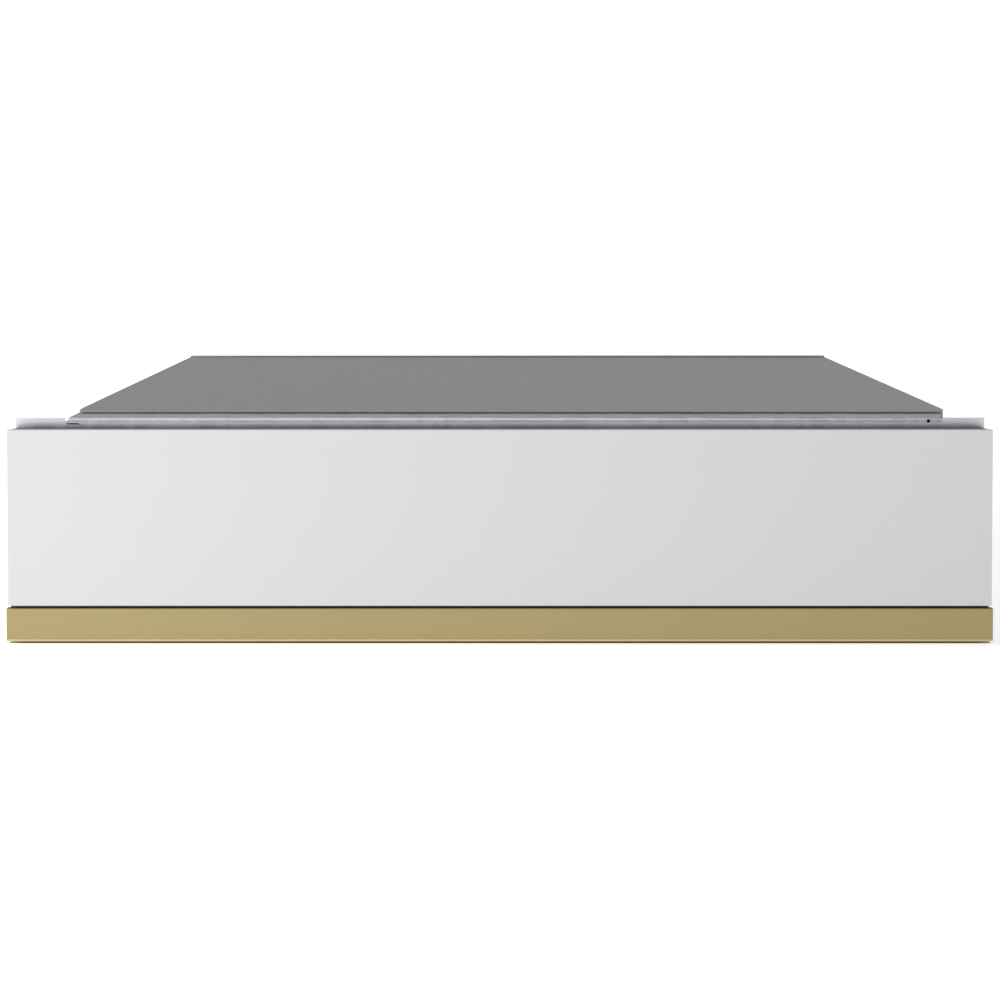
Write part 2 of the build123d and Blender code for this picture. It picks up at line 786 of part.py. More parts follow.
# Glue beads between the glass and the carrier's rim
glue_bottom = glass_bottom + glue_inset
glue_top = carrier_top - glue_inset
glue_half = carrier_half - glue_inset
with BuildPart() as glue_beads:
    with BuildSketch(front_section_at(carrier_front)):
        with Locations((0, (glue_bottom + glue_top) / 2)):
            Rectangle(2 * glue_half, glue_top - glue_bottom)
            Rectangle(
                2 * (glue_half - glue_width), glue_top - glue_bottom - 2 * glue_width, mode=Mode.SUBTRACT
            )
    extrude(amount=glue_thickness)
glue_beads.part.label = "glue_beads"
export_step(glue_beads.part, "parts/glue_beads.step")

# Glass panel with ground edges
with BuildPart() as glass_panel:
    with BuildSketch(front_section_at(glass_back)):
        with Locations((0, (glass_bottom + door_top) / 2)):
            Rectangle(2 * glass_half, door_top - glass_bottom)
    extrude(amount=glass_thickness)
    chamfer(glass_panel.faces().sort_by(Axis.Y)[0].edges(), glass_chamfer)
glass_panel.part.label = "glass_panel"
export_step(glass_panel.part, "parts/glass_panel.step")

# Trim bar: a metal profile with a bevelled lower edge and a clip groove in its back
clip_head_width = clip_stem_width + 2 * clip_head_over
clip_head_height = clip_stem_height + clip_head_over
groove_half = clip_head_height / 2 + clip_fit
groove_floor = carrier_front - clip_head_depth - clip_fit
with BuildPart() as trim_bar:
    with BuildSketch(Plane.YZ.offset(-trim_half)):
        with BuildLine():
            Polyline(
                (carrier_front, door_bottom),
                (front_face + trim_bevel_depth, door_bottom),
                (front_face, door_bottom + trim_bevel_height),
                (front_face, trim_top - trim_edge),
                (front_face + trim_edge, trim_top),
                (carrier_front, trim_top),
                (carrier_front, trim_middle + groove_half),
                (groove_floor, trim_middle + groove_half),
                (groove_floor, trim_middle - groove_half),
                (carrier_front, trim_middle - groove_half),
                close=True,
            )
        make_face()
    extrude(amount=2 * trim_half)
trim_bar.part.label = "trim_bar"
export_step(trim_bar.part, "parts/trim_bar.step")

# Trim clips: plugged through the carrier, with one head in the trim's groove and one behind
with BuildPart() as trim_clips:
    with BuildSketch(front_section_at(carrier_front)):
        with Locations((0, trim_middle)):
            with GridLocations(clip_pitch, 0, clip_count, 1):
                Rectangle(clip_head_width, clip_head_height)
    extrude(amount=clip_head_depth)
    with BuildSketch(front_section_at(carrier_front + sheet)):
        with Locations((0, trim_middle)):
            with GridLocations(clip_pitch, 0, clip_count, 1):
                Rectangle(clip_stem_width, clip_stem_height)
    extrude(amount=sheet)
    with BuildSketch(front_section_at(carrier_front + sheet + clip_head_depth)):
        with Locations((0, trim_middle)):
            with GridLocations(clip_pitch, 0, clip_count, 1):
                Rectangle(clip_head_width, clip_head_height)
    extrude(amount=clip_head_depth)
trim_clips.part.label = "trim_clips"
export_step(trim_clips.part, "parts/trim_clips.step")

# Striker plate on the tray's rear wall, which the latch's magnet holds
with BuildPart() as striker_plate:
    with BuildSketch(section_at(tray_back + striker_thickness)):
        with Locations((0, latch_centre)):
            Rectangle(striker_width, striker_height)
    extrude(amount=striker_thickness)
striker_plate.part.label = "striker_plate"
export_step(striker_plate.part, "parts/striker_plate.step")

# Push latch: a moulded housing on a bracket, a sprung plunger and its magnet
latch_bottom = latch_centre - latch_height / 2
bore_end = plunger_tip + plunger_length + push_in + spring_seat
ear_place = (latch_width / 2 + latch_ear / 2, latch_front + latch_length / 2)
with BuildPart() as latch_housing:
    with BuildSketch(level_at(latch_bottom)):
        with Locations((0, (latch_front + latch_back) / 2)):
            Rectangle(latch_width, latch_length)
    extrude(amount=latch_height)
    chamfer(latch_housing.edges().filter_by(Axis.Y), latch_chamfer)
    with BuildSketch(level_at(latch_bottom)):
        with Locations((0, ear_place[1])):
            Rectangle(latch_width + 2 * latch_ear, latch_ear_length)
    extrude(amount=latch_ear_height)
    with BuildSketch(level_at(latch_bottom)):
        with Locations((0, ear_place[1])):
            with GridLocations(2 * ear_place[0], 0, 2, 1):
                Circle(screw_shank / 2 + screw_fit)
    extrude(amount=latch_ear_height, mode=Mode.SUBTRACT)
    with BuildSketch(section_at(bore_end)):
        with Locations((0, latch_centre)):
            Circle(plunger_diameter / 2 + plunger_fit)
    extrude(amount=bore_end - latch_front, mode=Mode.SUBTRACT)
latch_housing.part.label = "latch_housing"
export_step(latch_housing.part, "parts/latch_housing.step")

spring_front = plunger_tip + plunger_length - spring_depth
with BuildPart() as latch_plunger:
    with BuildSketch(section_at(plunger_tip + plunger_length)):
        with Locations((0, latch_centre)):
            Circle(plunger_diameter / 2)
    extrude(amount=plunger_length)
    with BuildSketch(section_at(plunger_tip + magnet_thickness)):
        with Locations((0, latch_centre)):
            Circle(magnet_diameter / 2 + sheet_fit)
    extrude(amount=magnet_thickness, mode=Mode.SUBTRACT)
    with BuildSketch(section_at(plunger_tip + plunger_length)):
        with Locations((0, latch_centre)):
            Circle(spring_diameter / 2 + spring_fit)
    extrude(amount=spring_depth, mode=Mode.SUBTRACT)
latch_plunger.part.label = "latch_plunger"
export_step(latch_plunger.part, "parts/latch_plunger.step")

with BuildPart() as latch_magnet:
    with BuildSketch(section_at(plunger_tip + magnet_thickness)):
        with Locations((0, latch_centre)):
            Circle(magnet_diameter / 2)
    extrude(amount=magnet_thickness)
latch_magnet.part.label = "latch_magnet"
export_step(latch_magnet.part, "parts/latch_magnet.step")

# The latch's spring is shut inside the housing, so its coils are drawn as their sleeve
with BuildPart() as latch_spring:
    with BuildSketch(section_at(bore_end)):
        with Locations((0, latch_centre)):
            Circle(spring_diameter / 2)
            Circle(spring_diameter / 2 - spring_wire, mode=Mode.SUBTRACT)
    extrude(amount=bore_end - spring_front)
latch_spring.part.label = "latch_spring"
export_step(latch_spring.part, "parts/latch_spring.step")

# Latch bracket: a Z-shaped strip from the pan's floor to the latch's underside
bracket_half = latch_width / 2 + latch_ear
with BuildPart() as latch_bracket:
    with BuildSketch(face_at(-bracket_half)):
        with BuildLine():
            Polyline(
                (latch_front + bracket_sheet, latch_bottom),
                (latch_back - bracket_foot, latch_bottom),
                (latch_back - bracket_foot, pan_top + bracket_sheet),
                (latch_back, pan_top + bracket_sheet),
            )
            offset(amount=bracket_sheet, side=Side.RIGHT)
        make_face()
    extrude(amount=2 * bracket_half)
    with BuildSketch(level_at(latch_bottom)):
        with Locations((0, ear_place[1])):
            with GridLocations(2 * ear_place[0], 0, 2, 1):
                Circle(screw_shank / 2 + screw_fit)
    extrude(amount=-bracket_sheet, mode=Mode.SUBTRACT)
latch_bracket.part.label = "latch_bracket"
export_step(latch_bracket.part, "parts/latch_bracket.step")

with BuildPart() as latch_screws:
    with BuildSketch(level_at(latch_bottom + latch_ear_height)):
        with Locations((0, ear_place[1])):
            with GridLocations(2 * ear_place[0], 0, 2, 1):
                RegularPolygon(screw_head / 2, 6, major_radius=False)
    extrude(amount=screw_head_height)
    with BuildSketch(level_at(latch_bottom + latch_ear_height)):
        with Locations((0, ear_place[1])):
            with GridLocations(2 * ear_place[0], 0, 2, 1):
                RegularPolygon(screw_shank / 2, 6)
    extrude(amount=-latch_ear_height - bracket_sheet - screw_grip)
latch_screws.part.label = "latch_screws"
export_step(latch_screws.part, "parts/latch_screws.step")
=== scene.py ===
"""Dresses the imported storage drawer: finishes, glass, trim bar, fasteners, stage and camera."""

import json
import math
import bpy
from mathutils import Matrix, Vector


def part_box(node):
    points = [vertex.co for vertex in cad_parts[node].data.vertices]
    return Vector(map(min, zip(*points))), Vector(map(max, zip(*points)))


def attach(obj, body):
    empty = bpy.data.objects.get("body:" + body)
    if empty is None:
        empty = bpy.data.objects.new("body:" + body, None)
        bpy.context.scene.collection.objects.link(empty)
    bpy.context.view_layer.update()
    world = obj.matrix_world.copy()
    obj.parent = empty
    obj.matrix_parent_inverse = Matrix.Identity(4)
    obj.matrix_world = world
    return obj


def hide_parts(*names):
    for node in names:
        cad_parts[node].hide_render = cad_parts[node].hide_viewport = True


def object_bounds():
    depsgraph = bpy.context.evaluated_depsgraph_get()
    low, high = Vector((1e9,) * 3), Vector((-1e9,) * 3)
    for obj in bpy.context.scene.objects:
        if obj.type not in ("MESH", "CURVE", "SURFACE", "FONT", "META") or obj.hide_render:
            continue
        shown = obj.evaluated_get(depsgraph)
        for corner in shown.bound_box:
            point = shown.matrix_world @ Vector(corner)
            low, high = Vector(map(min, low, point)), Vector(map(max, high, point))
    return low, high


bl_info = {
    "name": "Storage Drawer Finishes",
    "version": (1, 0, 0),
    "blender": (4, 5, 0),
    "location": "3D View > Sidebar > Drawer",
    "description": "Finishes, glass, trim bar, fasteners and stage of a built-in storage drawer",
    "category": "Object",
}

import bmesh
import bpy
import numpy as np
from bpy.props import FloatProperty, FloatVectorProperty, IntProperty, PointerProperty

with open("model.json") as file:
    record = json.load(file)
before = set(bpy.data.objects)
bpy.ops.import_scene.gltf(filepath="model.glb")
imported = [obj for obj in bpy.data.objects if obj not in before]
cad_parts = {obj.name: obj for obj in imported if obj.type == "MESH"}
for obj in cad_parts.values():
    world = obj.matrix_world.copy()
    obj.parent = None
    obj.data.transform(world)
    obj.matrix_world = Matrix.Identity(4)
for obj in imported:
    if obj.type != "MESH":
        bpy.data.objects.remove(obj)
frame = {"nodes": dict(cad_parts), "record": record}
cad_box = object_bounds()

MM = 0.001


# Shapes


def unit(vectors):
    """Each vector divided by its length."""
    return vectors / np.linalg.norm(vectors, axis=-1, keepdims=True)


def cross2(a, b):
    """The signed area a.x b.y - a.y b.x of each pair of plane vectors."""
    return a[..., 0] * b[..., 1] - a[..., 1] * b[..., 0]


def rounded_outline(corners, radii, steps, inset=0.0):
    """The closed outline through corners (n, 2), anticlockwise, with an arc of so many steps at each.

    With a and b the unit vectors from a corner to the one before and the one after, an inset of e moves it
    by e (a + b) / (b x a). An arc of radius r touches both sides at r / tan h from its corner, h being half
    the angle between a and b, and its centre lies r / sin h from the corner along a + b.
    """
    corners = np.asarray(corners, float)
    radii = np.broadcast_to(np.asarray(radii, float), len(corners))[:, None]
    a = unit(np.roll(corners, 1, axis=0) - corners)
    b = unit(np.roll(corners, -1, axis=0) - corners)
    corners = corners + inset * (a + b) / cross2(b, a)[:, None]
    half = np.arccos(np.clip((a * b).sum(1), -1, 1))[:, None] / 2
    centres = corners + unit(a + b) * radii / np.sin(half)
    first = corners + a * radii / np.tan(half) - centres
    last = corners + b * radii / np.tan(half) - centres
    start = np.arctan2(first[:, 1], first[:, 0])[:, None]
    sweep = np.arctan2(cross2(first, last), (first * last).sum(1))[:, None]
    angles = start + sweep * np.linspace(0, 1, steps)
    points = centres[:, None, :] + radii[:, :, None] * np.stack([np.cos(angles), np.sin(angles)], 2)
    return points.reshape(-1, 2)


def grid_quads(rows, columns):
    """The quads between rows of points, each row closed in a ring, as corner numbers."""
    i, j = (a.ravel() for a in np.meshgrid(np.arange(rows - 1), np.arange(columns), indexing="ij"))
    beside = (j + 1) % columns
    here, there = i * columns, (i + 1) * columns
    return np.stack([here + j, there + j, there + beside, here + beside], 1)


def tube_faces(rows, columns):
    """The faces of a tube of rings, its ends closed by one flat face each."""
    ends = [list(range(columns)), list(range((rows - 1) * columns, rows * columns))]
    return grid_quads(rows, columns).tolist() + [ends[0], ends[1][::-1]]


def polar_faces(rows, columns):
    """The faces of rings whose ends are closed by fans to two more points, which follow the rings."""
    j = np.arange(columns)
    beside = (j + 1) % columns
    first, last = rows * columns, rows * columns + 1
    base = (rows - 1) * columns
    fans = np.concatenate(
        [
            np.stack([np.full(columns, first), j, beside], 1),
            np.stack([np.full(columns, last), base + beside, base + j], 1),
        ]
    )
    return grid_quads(rows, columns).tolist() + fans.tolist()


def make_piece(name, points, faces, body, replaced, materials):
    mesh = bpy.data.meshes.new(name)
    mesh.from_pydata(np.asarray(points).tolist(), [], faces)
    shell = bmesh.new()
    shell.from_mesh(mesh)
    if shell.calc_volume(signed=True) < 0:
        bmesh.ops.reverse_faces(shell, faces=shell.faces)
    shell.to_mesh(mesh)
    shell.free()
    mesh.shade_smooth()
    piece = bpy.data.objects.new(name, mesh)
    bpy.context.scene.collection.objects.link(piece)
    for material in materials:
        mesh.materials.append(material)
    weighted = piece.modifiers.new("flat_faces", "WEIGHTED_NORMAL")
    weighted.weight = 90
    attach(piece, body)
    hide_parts(replaced)
    return piece


def placed(points, origins, direction):
    """Copies of points (n, 3), their Z axis turned to direction, at each of the origins, as one array."""
    direction = np.asarray(direction, float)
    side = np.roll(np.abs(direction), 1)
    across = np.cross(direction, side)
    turned = points[:, 0:1] * side + points[:, 1:2] * across + points[:, 2:3] * direction
    return (np.asarray(origins)[:, None, :] + turned[None]).reshape(-1, 3)


def repeated(faces, points, copies):
    """The faces of one shape of that many points, once for each copy."""
    return [[corner + points * k for corner in face] for k in range(copies) for face in faces]


def solids_of(node):
    """The separate solids of a CAD node, each as the (n, 3) array of its corner points."""
    shell = bmesh.new()
    shell.from_mesh(frame["nodes"][node].data)
    bmesh.ops.remove_doubles(shell, verts=shell.verts, dist=1e-6)
    left = set(shell.verts)
    solids = []
    while left:
        front = [left.pop()]
        found = list(front)
        while front:
            near = {edge.other_vert(front[0]) for edge in front[0].link_edges} & left
            left -= near
            found.extend(near)
            front = front[1:] + list(near)
        solids.append(np.array([vertex.co for vertex in found]))
    shell.free()
    return sorted(solids, key=lambda points: tuple(points.mean(0).round(4)))


# Finishes


class Finish:
    """One procedural material in the making. Each method adds nodes and gives their output."""

    # The Mix node's sockets for colours: its factor, its two inputs and its output
    FACTOR, FIRST, SECOND, MIXED = 0, 6, 7, 2

    def __init__(self, name, **constants):
        self.material = bpy.data.materials.new(name)
        self.material.use_nodes = True
        self.tree = self.material.node_tree
        self.shader = next(n for n in self.tree.nodes if n.type == "BSDF_PRINCIPLED")
        self.place = self.tree.nodes.new("ShaderNodeTexCoord").outputs["Object"]
        for socket, value in constants.items():
            self.shader.inputs[socket.replace("_", " ")].default_value = value

    def add(self, kind, inputs, **settings):
        """Adds one node, with values or links for its inputs."""
        made = self.tree.nodes.new("ShaderNode" + kind)
        for name, value in settings.items():
            setattr(made, name, value)
        for name, value in inputs.items():
            if isinstance(value, bpy.types.NodeSocket):
                self.tree.links.new(value, made.inputs[name])
            else:
                made.inputs[name].default_value = value
        return made

    def feed(self, socket, output):
        """Links an output to one of the shader's sockets."""
        self.tree.links.new(output, self.shader.inputs[socket])

    def scaled(self, x, y, z):
        """The place on the object, stretched by a factor along each axis."""
        return self.add("Mapping", {"Vector": self.place, "Scale": (x, y, z)}).outputs["Vector"]

    def noise(self, scale, detail=3.0, at=None):
        """Smooth noise about 0.5, with so many waves to the metre."""
        vector = at or self.place
        return self.add("TexNoise", {"Vector": vector, "Scale": scale, "Detail": detail}).outputs["Fac"]

    def cells(self, scale):
        """Random cells: each has one value from 0 to 1."""
        made = self.add("TexVoronoi", {"Vector": self.place, "Scale": scale})
        return self.add("SeparateColor", {"Color": made.outputs["Color"]}).outputs["Red"]

    def spread(self, value, low, high, start=0.0, end=1.0):
        """The value carried from start..end to low..high, and held there."""
        inputs = {"Value": value, "From Min": start, "From Max": end, "To Min": low, "To Max": high}
        return self.add("MapRange", inputs).outputs["Result"]

    def math(self, operation, a, b=0.0):
        """Simple arithmetic on one or two values."""
        return self.add("Math", {0: a, 1: b}, operation=operation).outputs["Value"]

    def mix(self, factor, a, b):
        """Colour a turning into colour b."""
        inputs = {self.FACTOR: factor, self.FIRST: rgba(a), self.SECOND: rgba(b)}
        return self.add("Mix", inputs, data_type="RGBA").outputs[self.MIXED]

    def shade(self, colour, factor):
        """The colour times a factor."""
        grey = self.add("CombineColor", {"Red": factor, "Green": factor, "Blue": factor}).outputs["Color"]
        inputs = {self.FACTOR: 1.0, self.FIRST: rgba(colour), self.SECOND: grey}
        return self.add("Mix", inputs, data_type="RGBA", blend_type="MULTIPLY").outputs[self.MIXED]

    def eased(self, radius):
        """The normal with every edge rounded by radius, and a mask of how near an edge is."""
        rounded = self.add("Bevel", {"Radius": radius}, samples=4).outputs["Normal"]
        flat = self.add("NewGeometry", {}).outputs["Normal"]
        same = self.add("VectorMath", {0: rounded, 1: flat}, operation="DOT_PRODUCT").outputs["Value"]
        return rounded, self.spread(same, 1.0, 0.0, 0.75, 0.995)

    def bump(self, height, depth, normal=None):
        """Relief of that depth, in metres, over the normal."""
        inputs = {"Height": height, "Distance": depth, "Strength": 1.0}
        if normal:
            inputs["Normal"] = normal
        return self.add("Bump", inputs).outputs["Normal"]

    def axis(self, name):
        """One coordinate of the place on the object."""
        return self.add("SeparateXYZ", {"Vector": self.place}).outputs[name]


def rgba(colour):
    """A colour with full opacity, or the socket as it is."""
    return colour if isinstance(colour, bpy.types.NodeSocket) else (*colour[:3], 1.0)


def galvanised(settings):
    """The housing's zinc-coated sheet, in a darker tone than the front frame's."""
    return zinc_sheet("galvanised_sheet", settings.wall_colour, settings)


def galvanised_front(settings):
    """The front frame's zinc-coated sheet, in a lighter tone than the housing's."""
    return zinc_sheet("galvanised_front_sheet", settings.frame_colour, settings)


def zinc_sheet(name, colour, settings):
    """Zinc-coated sheet: spangle cells of different tone and gloss, clouding and bright cut edges."""
    f = Finish(name, Metallic=0.85)
    spangle = f.cells(1 / settings.spangle)
    cloud = f.noise(9.0)
    normal, edge = f.eased(0.15 * MM)
    tone = f.math("ADD", f.spread(spangle, 0.90, 1.05), f.spread(cloud, -0.06, 0.06))
    f.feed("Base Color", f.mix(edge, f.shade(colour, tone), (0.62, 0.62, 0.64)))
    f.feed("Roughness", f.math("ADD", f.spread(spangle, 0.27, 0.33), f.spread(cloud, -0.03, 0.04)))
    f.feed("Normal", f.bump(f.noise(900.0), 0.004 * MM, normal))
    return f.material


def satin_cover(settings):
    """The cover's satin sheet: a fine even grain over a slow change of gloss."""
    f = Finish("satin_cover_sheet", Metallic=1.0)
    slow = f.noise(4.0, 2.0)
    grain = f.noise(1500.0, 2.0)
    normal, edge = f.eased(0.2 * MM)
    tone = f.math("ADD", f.spread(slow, 0.98, 1.02), f.spread(grain, -0.04, 0.04))
    f.feed("Base Color", f.mix(edge, f.shade(settings.cover_colour, tone), (0.66, 0.66, 0.66)))
    f.feed("Roughness", f.math("ADD", f.spread(slow, 0.26, 0.29), f.spread(grain, -0.03, 0.03)))
    f.feed("Normal", f.bump(grain, 0.002 * MM, normal))
    return f.material


def carrier_paint(settings):
    """Dark powder paint with orange peel, rubbed a little lighter along its edges."""
    f = Finish("carrier_powder_paint", Specular_IOR_Level=0.4)
    peel = f.noise(700.0, 2.0)
    speck = f.noise(3000.0, 1.0)
    normal, edge = f.eased(0.3 * MM)
    worn = f.math("MULTIPLY", edge, f.spread(f.noise(160.0), 0.0, 0.6, 0.45, 0.7))
    tone = f.spread(speck, 0.85, 1.15)
    f.feed("Base Color", f.mix(worn, f.shade(settings.carrier_colour, tone), (0.20, 0.20, 0.21)))
    f.feed("Roughness", f.spread(peel, 0.38, 0.52))
    f.feed("Normal", f.bump(peel, 0.02 * MM, normal))
    return f.material


def brushed_tray(settings):
    """Brushed sheet: brushed across on the floor, the front and the rear, and lengthwise on the sides."""
    f = Finish("brushed_tray_sheet", Metallic=1.0)
    across = f.noise(1.0, 4.0, f.scaled(12.0, 1400.0, 1400.0))
    along = f.noise(1.0, 4.0, f.scaled(1400.0, 12.0, 1400.0))
    facing = f.add("SeparateXYZ", {"Vector": f.add("NewGeometry", {}).outputs["Normal"]}).outputs["X"]
    side = f.math("GREATER_THAN", f.math("ABSOLUTE", facing), 0.5)
    lines = f.add("Mix", {"Factor": side, "A": across, "B": along}).outputs["Result"]
    normal, edge = f.eased(0.2 * MM)
    tone = f.math("ADD", f.spread(lines, 0.90, 1.08, 0.3, 0.7), f.spread(f.noise(6.0), -0.03, 0.03))
    f.feed("Base Color", f.mix(edge, f.shade((0.56, 0.56, 0.55), tone), (0.70, 0.70, 0.69)))
    f.feed("Roughness", f.spread(lines, 0.26, 0.38, 0.3, 0.7))
    f.feed("Normal", f.bump(lines, 0.006 * MM, normal))
    return f.material


def zinc_rail(settings):
    """Bright zinc on rolled members: lengthwise rolling lines, straw and blue tints, polished tracks."""
    f = Finish("bright_zinc_rail", Metallic=1.0)
    lines = f.noise(1.0, 3.0, f.scaled(900.0, 10.0, 900.0))
    tint = f.mix(f.spread(f.noise(22.0), 0.0, 1.0, 0.35, 0.65), (0.60, 0.61, 0.65), (0.66, 0.64, 0.58))
    normal, edge = f.eased(0.25 * MM)
    f.feed("Base Color", f.mix(edge, f.shade(tint, f.spread(lines, 0.92, 1.06)), (0.74, 0.74, 0.75)))
    f.feed("Roughness", f.math("SUBTRACT", f.spread(lines, 0.24, 0.34), f.math("MULTIPLY", edge, 0.1)))
    f.feed("Normal", f.bump(lines, 0.005 * MM, normal))
    return f.material


def zinc_screw(settings):
    """Zinc-plated screws: fine pits, and plating rubbed bright on the corners."""
    f = Finish("zinc_plated_screw", Metallic=1.0)
    pits = f.noise(2500.0, 3.0)
    f.feed("Base Color", f.shade((0.66, 0.67, 0.68), f.spread(pits, 0.85, 1.08)))
    f.feed("Roughness", f.spread(pits, 0.20, 0.38))
    f.feed("Normal", f.bump(pits, 0.006 * MM))
    return f.material


def cage_strip(settings):
    """Rolled steel strip of the ball cages, with a thin uneven film of grease."""
    f = Finish("rolled_cage_strip", Metallic=1.0, Coat_Weight=0.5, Coat_Roughness=0.15)
    film = f.noise(120.0)
    f.feed("Base Color", f.mix(f.spread(film, 0.0, 1.0, 0.4, 0.6), (0.46, 0.46, 0.45), (0.52, 0.50, 0.45)))
    f.feed("Roughness", f.spread(film, 0.30, 0.45))
    f.feed("Normal", f.bump(f.noise(1.0, 3.0, f.scaled(1200.0, 30.0, 1200.0)), 0.004 * MM))
    return f.material


def polished_ball(settings):
    """Polished bearing steel under a film of grease."""
    f = Finish("polished_ball_steel", Metallic=1.0, Coat_Weight=0.6, Coat_Roughness=0.08)
    film = f.noise(700.0)
    f.feed("Base Color", f.shade((0.72, 0.72, 0.73), f.spread(film, 0.94, 1.04)))
    f.feed("Roughness", f.spread(film, 0.05, 0.16))
    return f.material


def spring_wire(settings):
    """Drawn spring wire: dark, with fine drawing lines."""
    f = Finish("drawn_spring_wire", Metallic=1.0)
    lines = f.noise(1600.0, 3.0)
    f.feed("Base Color", f.shade((0.36, 0.36, 0.37), f.spread(lines, 0.85, 1.12)))
    f.feed("Roughness", f.spread(lines, 0.25, 0.40))
    f.feed("Normal", f.bump(lines, 0.004 * MM))
    return f.material


def nickel_magnet(settings):
    """Nickel-plated magnet: warm bright metal, worn duller round its edge."""
    f = Finish("nickel_magnet", Metallic=1.0)
    pits = f.noise(1800.0, 2.0)
    normal, edge = f.eased(0.3 * MM)
    warm = f.shade((0.64, 0.61, 0.56), f.spread(pits, 0.92, 1.05))
    f.feed("Base Color", f.mix(edge, warm, (0.40, 0.40, 0.41)))
    f.feed("Roughness", f.math("ADD", f.spread(pits, 0.12, 0.22), f.math("MULTIPLY", edge, 0.15)))
    f.feed("Normal", f.bump(pits, 0.003 * MM, normal))
    return f.material


def moulded(name, colour, roughness, grain, depth, sheen=0.0):
    """Moulded plastic: an eroded surface grain, eased edges and slow flow marks."""
    f = Finish(name, Specular_IOR_Level=0.45, Sheen_Weight=sheen)
    skin = f.noise(grain, 2.0)
    flow = f.noise(40.0, 2.0)
    normal, edge = f.eased(0.25 * MM)
    tone = f.math("ADD", f.spread(skin, 0.93, 1.07), f.spread(flow, -0.05, 0.05))
    light = tuple(min(1.0, c * 1.5 + 0.02) for c in colour)
    f.feed("Base Color", f.mix(f.math("MULTIPLY", edge, 0.5), f.shade(colour, tone), light))
    f.feed("Roughness", f.spread(skin, roughness - 0.08, roughness + 0.08))
    f.feed("Normal", f.bump(skin, depth, normal))
    return f.material


def latch_plastic(settings):
    """Dark grey latch housing with a fine eroded grain."""
    return moulded("latch_housing_plastic", (0.075, 0.08, 0.09), 0.52, 1800.0, 0.012 * MM)


def plunger_plastic(settings):
    """Smooth off-white plunger."""
    return moulded("plunger_plastic", (0.72, 0.71, 0.68), 0.30, 600.0, 0.004 * MM)


def clip_plastic(settings):
    """Smooth black clips."""
    return moulded("clip_plastic", (0.02, 0.02, 0.02), 0.36, 900.0, 0.004 * MM)


def glide_plastic(settings):
    """Black glides, scuffed matt."""
    return moulded("glide_plastic", (0.022, 0.022, 0.023), 0.48, 1200.0, 0.010 * MM)


def mat_rubber(settings):
    """Dark rubber mat: matt, faintly dusty, with a moulded skin."""
    return moulded("mat_rubber", (0.055, 0.055, 0.060), 0.62, 1500.0, 0.015 * MM, sheen=0.15)


def cured_glue(settings):
    """Cured black glue with a slightly wavy skin."""
    return moulded("cured_glue", (0.018, 0.018, 0.018), 0.34, 180.0, 0.06 * MM)


FINISHES = {
    "galvanised": galvanised,
    "galvanised_front": galvanised_front,
    "cover": satin_cover,
    "carrier_paint": carrier_paint,
    "tray_steel": brushed_tray,
    "zinc_rail": zinc_rail,
    "zinc_screw": zinc_screw,
    "cage_steel": cage_strip,
    "ball_steel": polished_ball,
    "spring_steel": spring_wire,
    "magnet": nickel_magnet,
    "latch_plastic": latch_plastic,
    "plunger_plastic": plunger_plastic,
    "clip_plastic": clip_plastic,
    "glide": glide_plastic,
    "mat": mat_rubber,
    "glue": cured_glue,
}


def finish_of(slot, settings):
    """The material of one of the record's slots, made the first time it is asked for."""
    made = bpy.data.materials.get("slot_" + slot)
    if made is None:
        made = FINISHES[slot](settings)
        made.name = "slot_" + slot
    return made


def white_glass(settings):
    """White paint seen through the glass: very slow unevenness under a polished face."""
    f = Finish("painted_glass_face", Coat_Weight=1.0, Coat_Roughness=0.12, Specular_IOR_Level=0.3)
    slow = f.noise(5.0, 1.0)
    f.feed("Base Color", f.shade(settings.colour, f.spread(slow, 0.992, 1.008)))
    f.feed("Roughness", f.spread(slow, 0.30, 0.34))
    f.feed("Normal", f.bump(slow, 0.01 * MM))
    return f.material


def ground_edge():
    """The ground edge of the glass: pale grey-green, matt, with grinding lines along it."""
    f = Finish("ground_glass_edge", Specular_IOR_Level=0.6)
    lines = f.noise(1.0, 2.0, f.scaled(60.0, 3000.0, 3000.0))
    f.feed("Base Color", f.shade((0.72, 0.78, 0.76), f.spread(lines, 0.93, 1.05)))
    f.feed("Roughness", f.spread(lines, 0.38, 0.55))
    f.feed("Normal", f.bump(lines, 0.006 * MM))
    return f.material


def gold_metal(settings):
    """Gold-toned polished profile: faint drawing lines, a slow change of tone and a painted highlight along
    the lower arris.
    """
    f = Finish("gold_trim_metal", Metallic=1.0)
    lines = f.noise(1.0, 3.0, f.scaled(8.0, 2500.0, 2500.0))
    slow = f.noise(6.0, 1.0)
    normal, _ = f.eased(0.1 * MM)
    tone = f.math("ADD", f.spread(lines, 0.97, 1.03), f.spread(slow, -0.015, 0.015))
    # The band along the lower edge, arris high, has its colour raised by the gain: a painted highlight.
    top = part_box("trim_bar")[0][2] + settings.arris
    bright = f.spread(f.axis("Z"), settings.painted_highlight_gain, 1.0, top - 0.1 * MM, top + 0.1 * MM)
    f.feed("Base Color", f.shade(settings.colour, f.math("MULTIPLY", tone, bright)))
    f.feed("Roughness", f.spread(lines, settings.roughness - 0.03, settings.roughness + 0.03))
    f.feed("Normal", f.bump(lines, 0.0015 * MM, normal))
    return f.material


# Settings


def colour_property(name, description, default):
    """A colour that the panel shows as a swatch."""
    return FloatVectorProperty(
        name=name, description=description, default=default, subtype="COLOR", size=3, min=0, max=1
    )


def length_property(name, description, default):
    """A length, kept in metres."""
    return number_property(name, description, default, unit="LENGTH", min=0, precision=5)


def number_property(name, description, default, **limits):
    """A single number, with its unit and its limits."""
    return FloatProperty(name=name, description=description, default=default, **limits)


class GlassSettings(bpy.types.PropertyGroup):
    arris: length_property("Arris", "Width of the ground arris round the face", 0.4 * MM)
    corner: length_property("Corner", "Radius of the upright corners", 0.8 * MM)
    colour: colour_property("Paint", "Colour of the paint behind the glass", (0.735, 0.735, 0.748))


